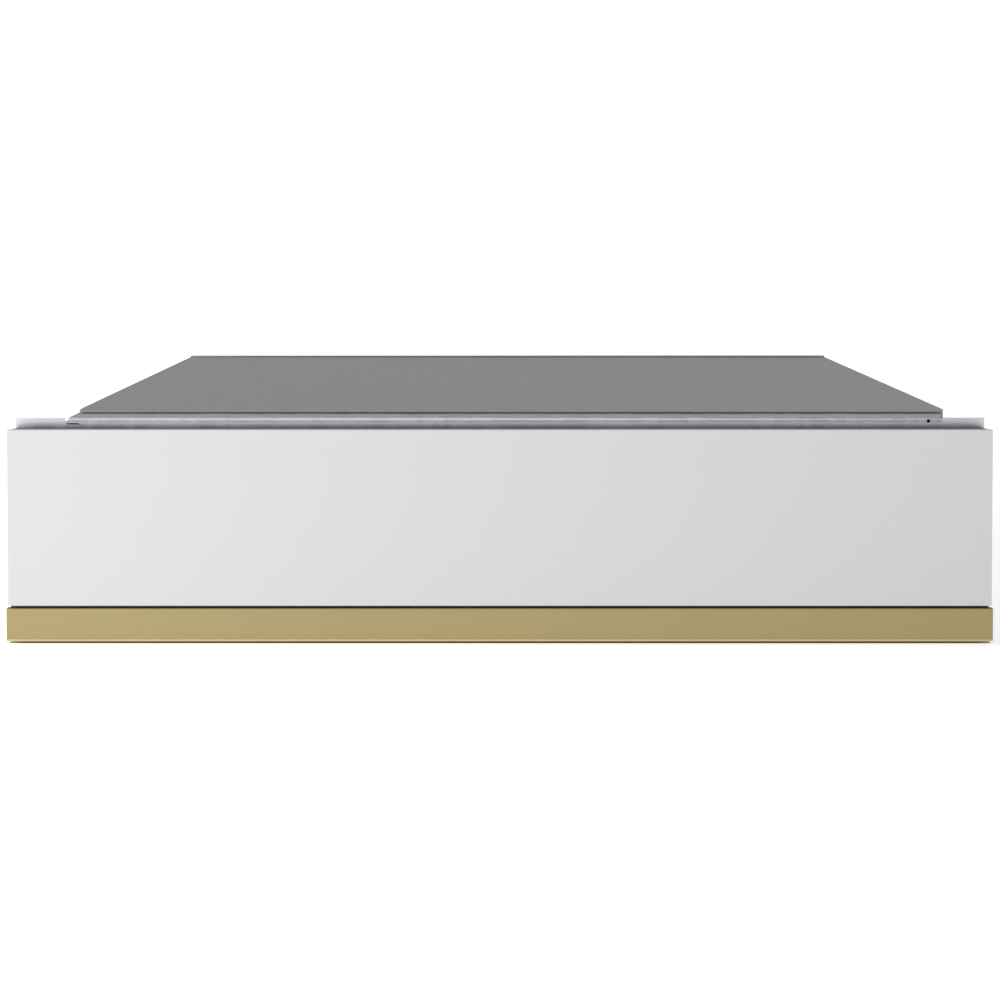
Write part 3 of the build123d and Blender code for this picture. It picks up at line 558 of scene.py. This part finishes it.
class TrimSettings(bpy.types.PropertyGroup):
    easing: length_property("Easing", "Radius of the profile's edges", 0.15 * MM)
    groove_fit: length_property("Groove fit", "Room round the clips in the groove", 0.2 * MM)
    colour: colour_property("Metal", "Colour of the metal", (0.375, 0.302, 0.150))
    roughness: number_property("Roughness", "Roughness of the metal", 0.30, min=0, max=1)
    # The arris band and its gain make a painted highlight along the trim's lower edge.
    arris: length_property("Arris", "Height of the bright arris along the lower edge", 1.2 * MM)
    painted_highlight_gain: number_property("Arris gain", "How much brighter the arris is", 1.55, min=0)


class ScrewSettings(bpy.types.PropertyGroup):
    pitch: length_property("Pitch", "Distance from thread to thread", 1.3 * MM)
    thread: length_property("Thread", "Depth of the thread", 0.35 * MM)
    recess: length_property("Recess", "Depth of the cross recess", 1.2 * MM)
    slot_width: length_property("Slot", "Width of the cross recess's arms", 0.9 * MM)
    slot_reach: length_property("Reach", "Length of the cross recess's arms", 2.2 * MM)


class MatSettings(bpy.types.PropertyGroup):
    rib_pitch: length_property("Rib pitch", "Distance from rib to rib", 3.0 * MM)
    rib_height: length_property("Rib height", "Height of the ribs", 0.6 * MM)
    corner: length_property("Corner", "Radius of the mat's corners", 5.0 * MM)
    easing: length_property("Easing", "Width of the chamfer along the mat's upper edges", 0.3 * MM)


class SpringSettings(bpy.types.PropertyGroup):
    wire: length_property("Wire", "Diameter of the wire", 0.9 * MM)
    turns: IntProperty(name="Turns", description="Number of turns", default=13, min=2)
    end_gap: length_property("End gap", "Room that the plunger needs when it is pushed in", 3.0 * MM)


class SheetSettings(bpy.types.PropertyGroup):
    spangle: length_property("Spangle", "Size of the zinc crystals", 7.0 * MM)
    frame_colour: colour_property("Front zinc", "Colour of the front frame's sheet", (0.75, 0.74, 0.79))
    wall_colour: colour_property("Zinc", "Colour of the housing's sheet", (0.50, 0.50, 0.53))
    cover_colour: colour_property("Cover", "Colour of the cover's sheet", (0.53, 0.53, 0.53))
    carrier_colour: colour_property("Carrier", "Colour of the carrier's paint", (0.17, 0.17, 0.175))


class StageSettings(bpy.types.PropertyGroup):
    floor_reach: length_property("Floor", "Distance from the middle of the floor to its edges", 12.0)
    floor_colour: colour_property("Floor colour", "Colour of the floor", (0.90, 0.90, 0.90))
    floor_glow: number_property("Floor glow", "Brightness that the floor has of its own", 0.70, min=0)
    floor_lean: number_property("Floor lean", "How much the glow falls for each metre to the right", 0.45)
    lean_reach: length_property("Lean reach", "Distance from the middle up to which the glow falls", 0.4)
    shadow_setback: length_property("Setback", "How far behind the front the floor stops glowing", 4.5 * MM)
    sweep_start: length_property("Sweep start", "Distance at which the floor starts to brighten", 0.1)
    sweep_end: length_property("Sweep end", "Distance from which the floor is white", 2.2)
    camera: FloatVectorProperty(
        name="Camera",
        description="Place of the camera",
        default=(-0.001523, -1.541584, 0.260547),
        subtype="XYZ",
        unit="LENGTH",
    )
    pitch: number_property(
        "Pitch", "How far the camera looks down", 0.03179, subtype="ANGLE", unit="ROTATION"
    )
    lens: number_property("Lens", "Focal length, in widths of the sensor", 2.116326, min=0.1)
    shift: FloatVectorProperty(
        name="Shift",
        description="Shift of the lens, in widths of the sensor",
        default=(0.00275, -0.22),
        size=2,
    )
    key: number_property("Key light", "Power of the wide light overhead", 9.0, unit="POWER")
    side: number_property("Side light", "Power of the light at the front left", 1.2, unit="POWER")
    room: number_property("Room light", "Strength of the light from all round", 0.35, min=0)


# Pieces


class DRAWER_OT_sheet_metal(bpy.types.Operator):
    """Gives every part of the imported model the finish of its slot"""

    bl_idname = "drawer.sheet_metal"
    bl_label = "Finishes"

    front = ("front_frame", "frame_ledge", "frame_foot")

    def execute(self, context):
        settings = context.scene.drawer_sheet
        for part in frame["record"]["subparts"]:
            slot = "galvanised_front" if part["node"] in self.front else part["material_slot"]
            if slot in FINISHES:
                for held in frame["nodes"][part["node"]].material_slots:
                    held.material = finish_of(slot, settings)
        return {"FINISHED"}


class DRAWER_OT_glass(bpy.types.Operator):
    """Makes the white glass panel with a rounded arris round its face"""

    bl_idname = "drawer.glass"
    bl_label = "Glass panel"

    ahead = -0.99  # a face whose normal's Y lies beyond this isn't part of the painted front

    def execute(self, context):
        settings = context.scene.drawer_glass
        faces, points = self.slab(settings)
        piece = make_piece(
            "glass_slab",
            points,
            faces,
            "drawer",
            "glass_panel",
            [white_glass(settings), ground_edge()],
        )
        facing = np.array([polygon.normal.y for polygon in piece.data.polygons])
        piece.data.polygons.foreach_set("material_index", (facing > self.ahead).astype(np.int32))
        return {"FINISHED"}

    def slab(self, settings):
        """A rounded rectangle carried along Y, inset at either end along a quarter circle, the arris."""
        low, high = (np.array(corner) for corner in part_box("glass_panel"))
        corners = [(low[0], low[2]), (high[0], low[2]), (high[0], high[2]), (low[0], high[2])]
        turn = np.linspace(0, math.pi / 2, 5)
        front = settings.arris * (1 - np.sin(turn)), low[1] + settings.arris * (1 - np.cos(turn))
        back = settings.arris / 2 * (1 - np.cos(turn)), high[1] - settings.arris / 2 * (1 - np.sin(turn))
        insets = np.concatenate([[settings.arris * 2], front[0], back[0]])
        depths = np.concatenate([[low[1]], front[1], back[1]])
        rings = [
            np.insert(rounded_outline(corners, settings.corner, 7, inset), 1, depth, axis=1)
            for inset, depth in zip(insets, depths)
        ]
        return tube_faces(len(rings), len(rings[0])), np.concatenate(rings)


class DRAWER_OT_trim(bpy.types.Operator):
    """Makes the gold trim bar: a drawn profile with eased edges and a clip groove"""

    bl_idname = "drawer.trim"
    bl_label = "Trim bar"

    def execute(self, context):
        settings = context.scene.drawer_trim
        low, high = (np.array(corner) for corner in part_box("trim_bar"))
        profile = self.profile(low, high, settings)
        turn = np.linspace(0, math.pi / 2, 5)
        insets = settings.easing * (1 - np.sin(turn))
        ends = settings.easing * (1 - np.cos(turn))
        stations = np.concatenate([low[0] + ends, (high[0] - ends)[::-1]])
        insets = np.concatenate([insets, insets[::-1]])
        rings = [
            np.insert(rounded_outline(profile, settings.easing * 0.9, 4, inset), 0, x, axis=1)
            for x, inset in zip(stations, insets)
        ]
        faces = tube_faces(len(rings), len(rings[0]))
        points = np.concatenate(rings)
        metal = [gold_metal(settings)]
        make_piece("trim_profile", points, faces, "drawer", "trim_bar", metal)
        return {"FINISHED"}

    def profile(self, low, high, settings):
        """The bar's corners in the YZ plane, anticlockwise, read from the CAD profile's outermost points."""
        cad = np.array([vertex.co for vertex in frame["nodes"]["trim_bar"].data.vertices])[:, 1:]
        front = cad[cad[:, 0] < low[1] + 1e-5]
        bottom = cad[cad[:, 1] < low[2] + 1e-5]
        top = cad[cad[:, 1] > high[2] - 1e-5]
        clip_low, clip_high = (np.array(corner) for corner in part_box("trim_clips"))
        groove = clip_low[1] - settings.groove_fit
        return [
            (bottom[:, 0].min(), low[2]),
            (high[1], low[2]),
            (high[1], clip_low[2] - settings.groove_fit),
            (groove, clip_low[2] - settings.groove_fit),
            (groove, clip_high[2] + settings.groove_fit),
            (high[1], clip_high[2] + settings.groove_fit),
            (high[1], high[2]),
            (top[:, 0].min(), high[2]),
            (low[1], front[:, 1].max()),
            (low[1], front[:, 1].min()),
        ]


class DRAWER_OT_screws(bpy.types.Operator):
    """Makes the screws: hexagon heads with a cross recess, and threaded shanks"""

    bl_idname = "drawer.screws"
    bl_label = "Screws"

    groups = {
        "cover_screws": ("chassis", 0),
        "outer_rail_screws": ("chassis", 0),
        "latch_screws": ("chassis", 2),
        "inner_rail_screws": ("drawer", 0),
        "front_screws": ("drawer", 1),
    }
    around = 72  # points round a screw
    head_from = 0.75  # share of the radius beyond which a point belongs to the head
    power = 24  # of the norm that rounds the hexagon's corners
    chamfer = 0.93  # share of the flats at which the head's chamfer starts
    tip = 0.25  # share of the shank's radius that is left at its point
    tip_length = 0.9 * MM

    def execute(self, context):
        settings = context.scene.drawer_screws
        metal = [finish_of("zinc_screw", context.scene.drawer_sheet)]
        for node, (body, axis) in self.groups.items():
            points, faces = [], []
            for solid in solids_of(node):
                size, origin, direction = self.measured(solid, axis)
                shape = self.screw(size, settings)
                faces += [[corner + sum(map(len, points)) for corner in face] for face in self.faces(shape)]
                points.append(placed(shape, [origin], direction))
            make_piece(node + "_threaded", np.concatenate(points), faces, body, node, metal)
        return {"FINISHED"}

    def measured(self, solid, axis):
        """A screw's sizes, the middle of its head's bearing face, and the direction its head points in."""
        middle = (solid.min(0) + solid.max(0)) / 2
        reach = np.delete(solid - middle, axis, axis=1)
        radius = np.hypot(reach[:, 0], reach[:, 1])
        beyond = radius > self.head_from * radius.max()
        head, shank = solid[beyond, axis], solid[~beyond, axis]
        sign = 1.0 if head.mean() > shank.mean() else -1.0
        seat = head.min() if sign > 0 else head.max()
        origin = middle.copy()
        origin[axis] = seat
        direction = np.zeros(3)
        direction[axis] = sign
        size = {
            "flats": radius.max() * math.cos(math.pi / 6),
            "head": head.max() - head.min(),
            "shank": radius[~beyond].max(),
            "length": abs(shank - seat).max(),
        }
        return size, origin, direction

    def faces(self, shape):
        return polar_faces((len(shape) - 2) // self.around, self.around)

    def screw(self, size, settings):
        """A turned shape: for each ring and angle, a radius as a share of the head's outline, and a height.

        The outline is 1 / |cos(angle - n 60 degrees) / flats| in the p-norm over n = 0, 1, 2, a hexagon with
        rounded corners. The recess lowers the top by its depth inside two crossed arms, and the thread
        lowers the shank by a triangle wave of height / pitch + angle / full turn.
        """
        angles = np.linspace(0, 2 * math.pi, self.around, endpoint=False)
        sides = np.abs(np.cos(angles[None, :] - np.arange(3)[:, None] * math.pi / 3)) / size["flats"]
        outline = (sides**self.power).sum(0) ** (-1 / self.power)
        cos, sin = np.cos(angles), np.sin(angles)

        top_shares = np.linspace(0.06, 0.8, 12)[:, None]
        top_radius = top_shares * size["flats"] + 0 * outline
        x, y = np.abs(top_radius * cos), np.abs(top_radius * sin)
        narrow, far = np.minimum(x, y), np.maximum(x, y)
        inside = np.clip((settings.slot_width / 2 - narrow) / (0.25 * settings.slot_width) + 0.5, 0, 1)
        sunk = settings.recess * inside * np.clip(1 - far / settings.slot_reach, 0, 1) ** 0.6
        top_height = size["head"] - sunk

        edge_shares = np.array([0.88, 0.92, 0.96, 0.99, 1.0])[:, None]
        edge_radius = edge_shares * outline
        past = np.maximum(edge_radius - self.chamfer * size["flats"], 0)
        edge_height = size["head"] - past * math.tan(math.pi / 6)

        foot_shares = np.array([1.0, 0.985])[:, None]
        foot_radius = foot_shares * outline
        foot_height = np.array([0.03, 0.0])[:, None] * size["head"] + 0 * outline

        steps = max(8, int(size["length"] / settings.pitch * 7))
        heights = -np.linspace(0.02, 1, steps)[:, None] * size["length"]
        wave = (heights / settings.pitch + angles / (2 * math.pi)) % 1
        taper = np.clip((size["length"] + heights) / self.tip_length, self.tip, 1)
        shank_radius = (size["shank"] - settings.thread * np.abs(2 * wave - 1)) * taper
        shank_height = heights + 0 * wave

        radius = np.concatenate([top_radius, edge_radius, foot_radius, shank_radius])
        height = np.concatenate([top_height, edge_height, foot_height, shank_height])
        rings = np.stack([radius * cos, radius * sin, height], 2).reshape(-1, 3)
        poles = [(0, 0, size["head"] - settings.recess), (0, 0, -size["length"])]
        return np.concatenate([rings, poles])


class DRAWER_OT_balls(bpy.types.Operator):
    """Makes the bearing balls of the four cages"""

    bl_idname = "drawer.balls"
    bl_label = "Bearing balls"

    def execute(self, context):
        metal = [finish_of("ball_steel", context.scene.drawer_sheet)]
        ball, faces = self.ball(rows=12, columns=24)
        for side in ("right", "left"):
            for gap in ("outer", "inner"):
                node = f"{side}_{gap}_balls"
                solids = solids_of(node)
                radius = max(np.linalg.norm(s - (s.min(0) + s.max(0)) / 2, axis=1).max() for s in solids)
                centres = [(s.min(0) + s.max(0)) / 2 for s in solids]
                points = placed(ball * radius, centres, (0, 0, 1))
                every = repeated(faces, len(ball), len(solids))
                body = f"{side}_{gap}_bearing"
                make_piece(body + "_balls", points, every, body, node, metal)
        return {"FINISHED"}

    def ball(self, rows, columns):
        """The unit sphere: (sin t cos u, sin t sin u, cos t), with a pole at either end."""
        t = np.linspace(0, math.pi, rows + 2)[1:-1, None]
        u = np.linspace(0, 2 * math.pi, columns, endpoint=False)
        rings = np.stack([np.sin(t) * np.cos(u), np.sin(t) * np.sin(u), np.cos(t) + 0 * u], 2)
        points = np.concatenate([rings.reshape(-1, 3), [(0, 0, 1), (0, 0, -1)]])
        return points, polar_faces(rows, columns)


class DRAWER_OT_mat(bpy.types.Operator):
    """Makes the ribbed anti-slip mat on the tray's floor"""

    bl_idname = "drawer.mat"
    bl_label = "Anti-slip mat"

    rib_rows = 8  # rows of points from rib to rib
    corner_rows = 9  # and round a corner

    def execute(self, context):
        settings = context.scene.drawer_mat
        low, high = (np.array(corner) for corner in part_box("anti_slip_mat"))
        points = self.ribs(low, high, settings)
        rubber = [finish_of("mat", context.scene.drawer_sheet)]
        faces = tube_faces(len(points), len(points[0]))
        make_piece("ribbed_mat", points.reshape(-1, 3), faces, "drawer", "anti_slip_mat", rubber)
        return {"FINISHED"}

    def ribs(self, low, high, settings):
        """A low section carried along Y. Its top lies (1 - cos(2 pi y / pitch)) / 2 of a rib below the mat's,
        and its half width follows the rounded corners: w - r + sqrt(r^2 - s^2), where s is how far y has gone
        into the corner.
        """
        r = settings.corner
        turn = np.linspace(0, math.pi / 2, self.corner_rows)[:-1]
        corner = low[1] + r * (1 - np.cos(turn))
        count = int((high[1] - low[1] - 2 * r) / settings.rib_pitch) * self.rib_rows
        straight = np.linspace(low[1] + r, high[1] - r, count)
        y = np.concatenate([corner, straight, high[1] + low[1] - corner[::-1]])
        into = np.clip(np.maximum(low[1] + r - y, y - high[1] + r), 0, r)
        half = (high[0] - low[0]) / 2 - r + np.sqrt(r * r - into * into)
        wave = np.cos(2 * math.pi * (y - y.mean()) / settings.rib_pitch)
        top = high[2] - settings.rib_height * (1 - wave) / 2
        eased = settings.easing
        middle = (low[0] + high[0]) / 2
        across = np.stack([-half, -half, -half + eased, half - eased, half, half], 1) + middle
        floor = np.full_like(y, low[2])
        up = np.stack([floor, top - eased, top, top, top - eased, floor], 1)
        return np.stack([across, np.repeat(y[:, None], 6, 1), up], 2)


class DRAWER_OT_spring(bpy.types.Operator):
    """Makes the latch's coiled spring"""

    bl_idname = "drawer.spring"
    bl_label = "Latch spring"

    end_pitch = 0.35  # of the end turns, as a share of the mean pitch
    steps = 24  # rings of points in a turn
    around = 12  # points round the wire

    def execute(self, context):
        settings = context.scene.drawer_spring
        low, high = (np.array(corner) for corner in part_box("latch_spring"))
        wire = [finish_of("spring_steel", context.scene.drawer_sheet)]
        points = self.coil(low, high, settings)
        faces = tube_faces(len(points), len(points[0]))
        points = points.reshape(-1, 3)
        make_piece("latch_coil", points, faces, "chassis", "latch_spring", wire)
        return {"FINISHED"}

    def coil(self, low, high, settings):
        """A wire's circle carried along the helix R (cos a, 0, sin a) + y(a), whose end turns are closer."""
        radius = (high[0] - low[0] - settings.wire) / 2
        middle = (low + high) / 2
        share = np.linspace(0, 1, settings.turns * self.steps + 1)
        turned = 2 * math.pi * settings.turns * share
        one = 1.0 / settings.turns
        end = self.end_pitch * one
        ease = np.interp(share, [0, one, 1 - one, 1], [0, end, 1 - end, 1])
        first = low[1] + settings.end_gap + settings.wire / 2
        y = first + ease * (high[1] - settings.wire / 2 - first)
        out = np.stack([np.cos(turned), 0 * turned, np.sin(turned)], 1)
        path = out * radius + np.stack([0 * y + middle[0], y, 0 * y + middle[2]], 1)
        along = unit(np.gradient(path, axis=0))
        beside = unit(np.cross(along, out))
        ring = np.linspace(0, 2 * math.pi, self.around, endpoint=False)[None, :, None]
        spoke = np.cos(ring) * out[:, None] + np.sin(ring) * beside[:, None]
        return path[:, None] + settings.wire / 2 * spoke


class DRAWER_OT_stage(bpy.types.Operator):
    """Makes the floor, the lights, the surrounding light and the camera"""

    bl_idname = "drawer.stage"
    bl_label = "Stage"

    # Size and place of each light, in metres
    lights = {
        "key": ((2.4, 2.4), (-0.6, -0.3, 1.6)),
        "side": ((0.5, 0.5), (-0.8, -0.95, 0.3)),
    }

    def execute(self, context):
        settings = context.scene.drawer_stage
        self.floor(settings)
        self.world(context.scene, settings)
        for name, (size, place) in self.lights.items():
            self.light(name, getattr(settings, name), size, place)
        self.camera(context.scene, settings)
        context.scene.view_settings.view_transform = "Standard"
        return {"FINISHED"}

    def floor(self, settings):
        """A flat square under the glides. It glows as a studio sweep does: more to the left and far from the
        drawer, and not at all beneath it.
        """
        reach = settings.floor_reach
        low = cad_box[0][2]
        mesh = bpy.data.meshes.new("floor")
        corners = [(-reach, -reach, low), (reach, -reach, low), (reach, reach, low), (-reach, reach, low)]
        mesh.from_pydata(corners, [], [(0, 1, 2, 3)])
        floor = bpy.data.objects.new("floor", mesh)
        bpy.context.scene.collection.objects.link(floor)
        f = Finish("pale_floor", Roughness=0.9, Specular_IOR_Level=0.1, Emission_Color=(1, 1, 1, 1))
        f.feed("Base Color", f.shade(settings.floor_colour, f.spread(f.noise(2.0), 0.995, 1.005)))
        distance = f.add("VectorMath", {0: f.place}, operation="LENGTH").outputs["Value"]
        glow = f.spread(distance, settings.floor_glow, 1.0, settings.sweep_start, settings.sweep_end)
        most = settings.lean_reach
        lean = f.math("MULTIPLY", f.spread(f.axis("X"), most, -most, -most, most), settings.floor_lean)
        middle, half = (cad_box[0] + cad_box[1]) / 2, (cad_box[1] - cad_box[0]) / 2
        beneath = 1.0
        for axis, centre, within in zip("XY", middle, (half[0], half[1] - settings.shadow_setback)):
            out = f.math("ABSOLUTE", f.math("SUBTRACT", f.axis(axis), float(centre)))
            beneath = f.math("MULTIPLY", f.math("LESS_THAN", out, float(within)), beneath)
        glow = f.math("MULTIPLY", f.math("ADD", glow, lean), f.math("SUBTRACT", 1.0, beneath))
        f.feed("Emission Strength", glow)
        mesh.materials.append(f.material)

    def world(self, scene, settings):
        """An even grey all round, which the camera itself sees as white."""
        world = bpy.data.worlds.new("room")
        world.use_nodes = True
        tree = world.node_tree
        room = tree.nodes["Background"]
        room.inputs["Color"].default_value = (1, 1, 1, 1)
        room.inputs["Strength"].default_value = settings.room
        backdrop = tree.nodes.new("ShaderNodeBackground")
        seen = tree.nodes.new("ShaderNodeLightPath")
        mixed = tree.nodes.new("ShaderNodeMixShader")
        tree.links.new(seen.outputs["Is Camera Ray"], mixed.inputs[0])
        tree.links.new(room.outputs[0], mixed.inputs[1])
        tree.links.new(backdrop.outputs[0], mixed.inputs[2])
        tree.links.new(mixed.outputs[0], tree.nodes["World Output"].inputs["Surface"])
        backdrop.inputs["Color"].default_value = (1, 1, 1, 1)
        scene.world = world

    def light(self, name, power, size, place):
        """A rectangular light that faces the drawer."""
        data = bpy.data.lights.new(name, "AREA")
        data.shape = "RECTANGLE"
        data.energy = power
        data.size, data.size_y = size
        light = bpy.data.objects.new(name, data)
        light.location = place
        middle = (cad_box[0] + cad_box[1]) / 2
        light.rotation_euler = (middle - light.location).to_track_quat("-Z", "Y").to_euler()
        bpy.context.scene.collection.objects.link(light)

    def camera(self, scene, settings):
        """The camera at the picture's angle."""
        data = bpy.data.cameras.new("camera")
        data.lens = data.sensor_width * settings.lens
        data.shift_x, data.shift_y = settings.shift
        camera = bpy.data.objects.new("camera", data)
        camera.location = settings.camera
        camera.rotation_euler = (math.pi / 2 - settings.pitch, 0, 0)
        scene.collection.objects.link(camera)
        scene.camera = camera


OPERATORS = (
    DRAWER_OT_sheet_metal,
    DRAWER_OT_glass,
    DRAWER_OT_trim,
    DRAWER_OT_screws,
    DRAWER_OT_balls,
    DRAWER_OT_mat,
    DRAWER_OT_spring,
    DRAWER_OT_stage,
)
SETTINGS = {
    "drawer_glass": GlassSettings,
    "drawer_trim": TrimSettings,
    "drawer_screws": ScrewSettings,
    "drawer_mat": MatSettings,
    "drawer_spring": SpringSettings,
    "drawer_sheet": SheetSettings,
    "drawer_stage": StageSettings,
}


class DRAWER_PT_panel(bpy.types.Panel):
    """Lists the drawer's pieces and their settings"""

    bl_label = "Storage drawer"
    bl_space_type = "VIEW_3D"
    bl_region_type = "UI"
    bl_category = "Drawer"

    def draw(self, context):
        for operator in OPERATORS:
            self.layout.operator(operator.bl_idname)
        for name in SETTINGS:
            box = self.layout.box()
            group = getattr(context.scene, name)
            for setting in group.bl_rna.properties:
                if setting.identifier not in ("rna_type", "name"):
                    box.prop(group, setting.identifier)


def register():
    for group in SETTINGS.values():
        bpy.utils.register_class(group)
    for name, group in SETTINGS.items():
        setattr(bpy.types.Scene, name, PointerProperty(type=group))
    for operator in OPERATORS:
        bpy.utils.register_class(operator)
    bpy.utils.register_class(DRAWER_PT_panel)


def unregister():
    bpy.utils.unregister_class(DRAWER_PT_panel)
    for operator in reversed(OPERATORS):
        bpy.utils.unregister_class(operator)
    for name, group in reversed(SETTINGS.items()):
        delattr(bpy.types.Scene, name)
        bpy.utils.unregister_class(group)


def main():
    """Makes every piece and the stage."""
    register()
    bpy.ops.drawer.sheet_metal()
    bpy.ops.drawer.glass()
    bpy.ops.drawer.trim()
    bpy.ops.drawer.screws()
    bpy.ops.drawer.balls()
    bpy.ops.drawer.mat()
    bpy.ops.drawer.spring()
    bpy.ops.drawer.stage()


if __name__ == "__main__":
    main()
